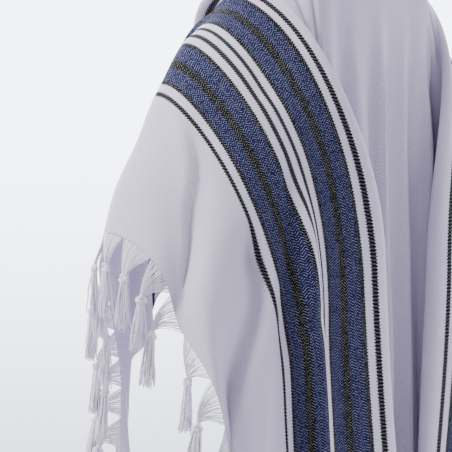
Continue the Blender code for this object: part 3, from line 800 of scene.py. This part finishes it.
# how unevenly they start, the share of the cell they fill, how far back under the cloth they start,
# how thick they are together at the knot, and the power that says how soon they gather
WEB_UNEVEN, WEB_FILL, WEB_UNDER, WEB_BUNDLE, WEB_GATHER = 0.008, 0.99, 0.0015, 0.0009, 1.25
FRINGE_KNOT = {"size": 0.00155, "radius": 0.0023, "hint": 0.21}
TAIL_THREADS, TAIL_RINGS, TAIL_RADIUS = 40, 9, 0.00105
TAIL_TOP, TAIL_FOOT = (0.0034, 0.0032), (0.0082, 0.0060)  # half its width and half its depth
# how far its threads bend, stray at their ends, end short and curl, in metres, and turns of the curl
TAIL_BEND, TAIL_STRAY, TAIL_SHORT, TAIL_CURL, CURL_TURNS = 0.0012, 0.0016, 0.007, 0.0007, (1.5, 2.6)


def fringe_piece(name, right, seed):
    """A web, a knot and a tail for each of the thirty groups."""
    rng = np.random.default_rng(seed)
    at, edge, on, out = fringed_end(right)
    parts = []
    for t, (middle, width) in enumerate(zip(*cells())):
        place, way_on, face = (sample(at, q, middle) for q in (edge, on, out))
        fan = FAN * (1 if t % 2 else -1) * np.linalg.norm(way_on[:2])
        distance, line, way, flat = tassel_path(place, unit(way_on), unit(face), fan)
        knot_at = STRIP + EDGE_GAP + KNOT_AT + rng.normal(0, KNOT_UNEVEN)
        centre, knot_way, knot_flat = (sample(distance, q, knot_at) for q in (line, way, flat))
        knot_way, knot_flat = unit(knot_way), unit(knot_flat)
        wide = np.cross(knot_way, knot_flat)
        # web
        count, share = WEB_THREADS, np.linspace(0, 1, WEB_RINGS)[:, None]
        spread = (np.linspace(-0.5, 0.5, count) + rng.normal(0, WEB_UNEVEN, count)) * width * WEB_FILL
        starts = sample(at, edge, np.clip(middle + spread, 0, CLOTH_WIDTH)) - way_on * WEB_UNDER
        bundle = rng.normal(0, WEB_BUNDLE, (count, 1, 3)) * share
        paths = sample(distance, line, share[:, 0] * knot_at) + bundle
        paths = paths + (starts - place)[:, None] * (1 - share) ** WEB_GATHER
        radii = np.full((count, WEB_RINGS), WEB_RADIUS) * rng.uniform(0.8, 1.2, (count, 1))
        parts.append(tubes(paths, radii, np.broadcast_to(face, (count, 3))))
        parts.append(knot(centre, knot_way, knot_flat, **FRINGE_KNOT))
        # tail
        count, share = TAIL_THREADS, np.linspace(0, 1, TAIL_RINGS)[:, None]
        angle, radius = rng.uniform(0, 2 * np.pi, count), np.sqrt(rng.uniform(0.03, 1, count))
        sideways, outward = (np.cos(angle) * radius)[:, None] * wide, (np.sin(angle) * radius)[:, None] * knot_flat
        start, end = (sideways * half_width + outward * half_depth for half_width, half_depth in (TAIL_TOP, TAIL_FOOT))
        bend = rng.normal(0, TAIL_BEND, (count, 1, 3)) * np.sin(np.pi * share)
        bend = bend + rng.normal(0, TAIL_STRAY, (count, 1, 3)) * share**2
        short = knot_way * rng.uniform(-TAIL_SHORT, 0.0, count)[:, None]
        paths = sample(distance, line, knot_at + share[:, 0] * (TAIL_END - KNOT_AT)) + bend
        paths = paths + start[:, None] * (1 - share) + (end + short)[:, None] * share
        curl = rng.uniform(0, 2 * np.pi, (count, 1, 1)) + 2 * np.pi * rng.uniform(*CURL_TURNS, (count, 1, 1)) * share
        paths = paths + TAIL_CURL * share * (np.sin(curl) * wide + np.cos(curl) * knot_flat)
        radii = TAIL_RADIUS * rng.uniform(0.7, 1.15, (count, 1)) * (1 - 0.5 * share[:, 0] ** 4)
        parts.append(tubes(paths, radii, np.broadcast_to(knot_flat + 0.3 * wide, (count, 3))))
    return add_piece(name, *joined(parts), FRINGE_WOOL, "white_fringe")


left_fringe = fringe_piece("left_fringe_threads", False, 11)
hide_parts("fringe_left")
right_fringe = fringe_piece("right_fringe_threads", True, 23)
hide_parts("fringe_right")

# %% [markdown]
# ## The corner strings
# Four threads go through an eyelet 40 mm from both edges. Folded over the edge they make eight, one
# of them winds round the others between five double knots, and eight loose ends hang below.

# %% Tzitzit
EYELET = 0.040
EYELET_RADIUS, STITCH_RADIUS = 0.0042, 0.0008
# how far the loop stands off inside, how much more by the edge, and how far it stands off outside
LOOP_LIFT, LOOP_RISE, OUTER_LIFT = 0.0019, 0.0032, 0.0016
LOOP_THREAD, LOOP_APART, LOOP_RINGS = 0.00075, 0.0013, 14
STEM_TOP, STEM_END = 0.014, 0.104  # below the edge
STEM_RADIUS, COIL_RADIUS, COIL_PITCH, COIL_THREAD = 0.0024, 0.0027, 0.0021, 0.00095
STEM_KNOTS = (0.018, 0.037, 0.059, 0.080, 0.103)
STRING_END = 0.108 + 0.190
STRING_RADIUS, STRING_APART, ROWS_APART, SPREAD = 0.00115, 0.0026, 0.004, 2.6
STRING_KNOT = {"size": 0.00125, "radius": 0.0017, "hint": 0.20}
TIP_KNOT = {"size": 0.00050, "radius": 0.0009, "hint": 0.20, "steps": 16, "sides": 4}
DOWNWARD = np.array([0, 0, -1.0])
FOUR, TWO = (-1.5, -0.5, 0.5, 1.5), (-0.5, 0.5)  # places side by side, and one behind the other


def coil(top, wide, flat):
    """The stem's winding, a helix: radius * (cos, sin) of its turns, moving down by pitch each turn."""
    length = STEM_END - STEM_TOP
    turns = length / COIL_PITCH
    t = np.linspace(0, 1, int(turns * 10) + 1)[:, None]
    angle = 2 * np.pi * turns * t
    return top + DOWNWARD * length * t + COIL_RADIUS * (np.cos(angle) * wide + np.sin(angle) * flat)


def smooth_path(marks):
    """A cubic path through a few marks."""
    marks, at = np.array(marks), np.linspace(0, 1, LOOP_RINGS)
    return np.stack([through(np.linspace(0, 1, len(marks)), marks[:, j], at) for j in range(3)], -1)


def tzitzit_piece(name, right, behind, seed):
    """Loop from the eyelet over the edge, wound stem, five knots and eight strings."""
    rng = np.random.default_rng(seed)
    across = np.array([0.0, EYELET - NUDGE, EYELET, EYELET + NUDGE])
    across = CLOTH_LENGTH - across[::-1] if right else across
    k = 1 if right else 2
    down = np.linspace(CLOTH_WIDTH - EYELET, CLOTH_WIDTH, 5) if behind else np.linspace(0, EYELET, 5)
    from_eyelet = slice(None, None, 1 if behind else -1)
    grid = cloth(across, down)
    places, inward = grid[k, from_eyelet], inner_way(grid, across, down)[k, from_eyelet]
    wide = unit(grid[k + 1, from_eyelet][-1] - places[-1])
    inner_loop = places + inward * (LOOP_LIFT + LOOP_RISE * np.linspace(0, 1, 5))[:, None]
    outer_loop = places - inward * OUTER_LIFT
    foot = inner_loop[-1]
    level = unit(inward[-1] * [1, 1, 0])
    sideways = np.cross(level, -DOWNWARD)
    top = foot + DOWNWARD * STEM_TOP
    parts = []
    # four threads inside the cloth and four outside, which meet at the first knot
    for loop, lean in ((inner_loop, 1), (outer_loop, -1)):
        for strand in FOUR:
            beside = wide * strand * LOOP_APART
            marks = [loop[0] + beside * 0.6 - inward[0] * 0.0008 * lean, *(loop[1:] + beside), top + beside * 0.7]
            parts.append(one_tube(smooth_path(marks), LOOP_THREAD, inward[0] + 0.2 * wide))
    # core, winding and knots of the stem
    start = foot + DOWNWARD * STEM_END
    parts.append(one_tube(np.linspace(top, start, 8), STEM_RADIUS, level, 6))
    parts.append(one_tube(coil(top, sideways, level), COIL_THREAD, level + 0.13 * sideways))
    for below in STEM_KNOTS:
        parts.append(knot(foot + DOWNWARD * below, DOWNWARD, level, **STRING_KNOT))
    # eight strings, each with a small knot near its end
    share = np.linspace(0, 1, 18)[:, None]
    for row in TWO:
        for col in FOUR:
            here = sideways * col * STRING_APART + level * row * ROWS_APART
            length = (STRING_END - STEM_END) * (1 - 0.05 * rng.uniform(0, 3))
            wave = sideways * 0.0016 * np.sin(5 * share + rng.uniform(0, 6))
            wave = wave + level * 0.0014 * np.sin(4 * share + rng.uniform(0, 6))
            path = start + here * (0.4 + SPREAD * share**0.8) + DOWNWARD * length * share + wave * share
            parts.append(one_tube(path, STRING_RADIUS, level + 0.2 * sideways))
            parts.append(knot(path[-4], DOWNWARD, level, **TIP_KNOT))
    # buttonhole stitches round the eyelet, on both faces
    turn = np.linspace(0, 2 * np.pi, 25)[:, None]
    ring = EYELET_RADIUS * (np.cos(turn) * wide + np.sin(turn) * unit(np.cross(inward[0], wide)))
    for face in (1, -1):
        parts.append(one_tube(places[0] + inward[0] * face * STITCH_RADIUS + ring, STITCH_RADIUS, inward[0]))
    return add_piece(name, *joined(parts), STRING_WOOL, "white_strings")


for number, corner in enumerate(("front_left", "back_left", "front_right", "back_right")):
    piece = tzitzit_piece("corner_strings_" + corner, "right" in corner, "back" in corner, 31 + number)
    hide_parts("tzitzit_" + corner)

# %% [markdown]
# ## The cut
# The cloth was cut to 1.15 m by 1.60 m and is only draped, so nothing has stretched it.

# %% [markdown]
# ## Floor, light and camera
# A pale floor a standing person's height below the crown, a bright pale room that is darker towards
# the floor, and two soft lights: one on the fringed side and a wider one behind the other shoulder.
# The camera stands behind the wearer's left shoulder, a little above it.

# %% Floor
FLOOR_HALF, FLOOR_DROP = 3.4, 1.70
floor_mesh = bpy.data.meshes.new("floor")
corners = [(x * FLOOR_HALF, y * FLOOR_HALF, -FLOOR_DROP) for x, y in ((-1, -1), (1, -1), (1, 1), (-1, 1))]
floor_mesh.from_pydata(corners, [], [(0, 1, 2, 3)])
floor = new_object("floor", floor_mesh)
floor_paint = bpy.data.materials.new("pale floor")
floor_paint.use_nodes = True
for socket, value in (("Base Color", (0.52, 0.52, 0.55, 1)), ("Roughness", 0.8)):
    floor_paint.node_tree.nodes["Principled BSDF"].inputs[socket].default_value = value
floor_mesh.materials.append(floor_paint)

# %% Room and lights
BRIGHT_WAY = (-0.60, -0.72, 0.35)  # towards the pale wall that the wearer faces
# how far round towards it the wall starts and ends, and how bright the room is before and after
WALL = (-0.1, 1.0, 0.56, 7.2)
# the same for heights from the floor up to the horizon, as shares of that brightness
FLOORWARD = (-0.26, -0.02, 0.32, 1.0)


def soft_step(tree, value, start, end, low, high):
    """low up to start and high from end, with an eased change between."""
    ends = {"Value": value, "From Min": start, "From Max": end, "To Min": low, "To Max": high}
    return add_node(tree, "MapRange", ends, interpolation_type="SMOOTHSTEP").outputs["Result"]


def pale_room(name, colour):
    """A room that is dim near the viewer, brightest towards one wall and darker towards the floor."""
    made = bpy.data.worlds.new(name)
    made.use_nodes = True
    tree = made.node_tree
    way = add_node(tree, "TexCoord").outputs["Generated"]
    towards = add_node(tree, "VectorMath", {0: way, 1: BRIGHT_WAY}, operation="DOT_PRODUCT").outputs["Value"]
    height = add_node(tree, "SeparateXYZ", {0: way}).outputs["Z"]
    shares = {0: soft_step(tree, towards, *WALL), 1: soft_step(tree, height, *FLOORWARD)}
    strength = add_node(tree, "Math", shares, operation="MULTIPLY").outputs[0]
    sky = tree.nodes["Background"]
    sky.inputs["Color"].default_value = (*colour, 1)
    tree.links.new(strength, sky.inputs["Strength"])
    return made


def matrix_of(right, up, back, place):
    """A turning matrix from three unit ways and a place."""
    return Matrix([[*map(float, row)] for row in np.column_stack([right, up, back, place])] + [[0, 0, 0, 1]])


def soft_light(name, place, aim, size, power, colour):
    """A square area light at a place, turned to an aim."""
    lamp = bpy.data.lights.new(name, "AREA")
    lamp.size, lamp.energy, lamp.color = size, power, colour
    away = unit(np.array(place, float) - np.array(aim, float))
    side_way = unit(np.cross([0, 0, 1.0], away))
    new_object(name, lamp).matrix_world = matrix_of(side_way, np.cross(away, side_way), away, place)


bpy.context.scene.world = pale_room("pale room", (0.83, 0.86, 1.0))
soft_light("window", (1.45, -0.50, 0.75), (0.1, 0.1, -0.4), 0.8, 52, (1.0, 0.98, 0.985))
soft_light("fill", (-1.0, 2.3, 1.3), (0.0, 0.1, -0.3), 2.0, 36, (0.95, 0.94, 1.0))

# %% Camera
AZIMUTH, ELEVATION, DISTANCE, METRES_A_PIXEL = np.radians(140.0), np.radians(5.0), 2.2, 0.0011
PICTURE, SENSOR = 452, 36.0
SEEN_POINT, COLUMN, ROW_DOWN = np.array([0.20, 0.0, -0.30]), 180, 46  # where this point shows
back = np.array([np.sin(AZIMUTH) * np.cos(ELEVATION), -np.cos(AZIMUTH) * np.cos(ELEVATION), np.sin(ELEVATION)])
right_way = np.array([np.cos(AZIMUTH), np.sin(AZIMUTH), 0.0])
up_way = np.cross(back, right_way)
to_middle = right_way * (PICTURE / 2 - COLUMN) - up_way * (PICTURE / 2 - ROW_DOWN)
aim = SEEN_POINT + to_middle * METRES_A_PIXEL
lens = bpy.data.cameras.new("camera")
lens.sensor_width = SENSOR
lens.sensor_fit = "HORIZONTAL"
lens.lens = DISTANCE * SENSOR / (PICTURE * METRES_A_PIXEL)
camera = new_object("camera", lens)
camera.matrix_world = matrix_of(right_way, up_way, back, aim + back * DISTANCE)
bpy.context.scene.camera = camera
print("lens", round(lens.lens, 1), "mm")
